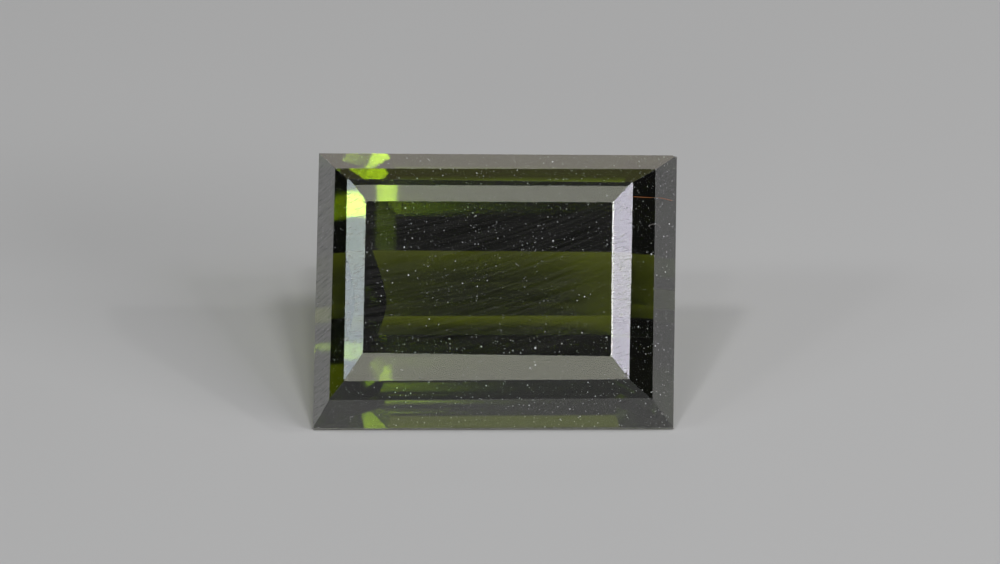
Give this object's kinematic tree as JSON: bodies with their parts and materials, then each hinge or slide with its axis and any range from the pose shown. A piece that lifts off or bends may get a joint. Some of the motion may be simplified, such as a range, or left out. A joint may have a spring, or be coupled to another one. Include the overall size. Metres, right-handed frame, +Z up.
{
  "type": "step-cut tourmaline gemstone",
  "caption": "Loose green tourmaline, cut as a rectangular step cut with square corners and a keel, leaning on a pavilion facet.",
  "frame": {"origin": "middle of the stone's box on the surface that it rests on", "axes": "+Z up, +X along the stone's length, -Y towards the side that the table leans to; the table's normal points up and to the front"},
  "size_m": [0.009, 0.0056, 0.0054],
  "materials": {
    "tourmaline": "polished facets, fine polish lines and a few chips, index of refraction 1.63, dark olive green in depth"
  },
  "bodies": {
    "root": {"tourmaline": "tourmaline"}
  },
  "joints": []
}
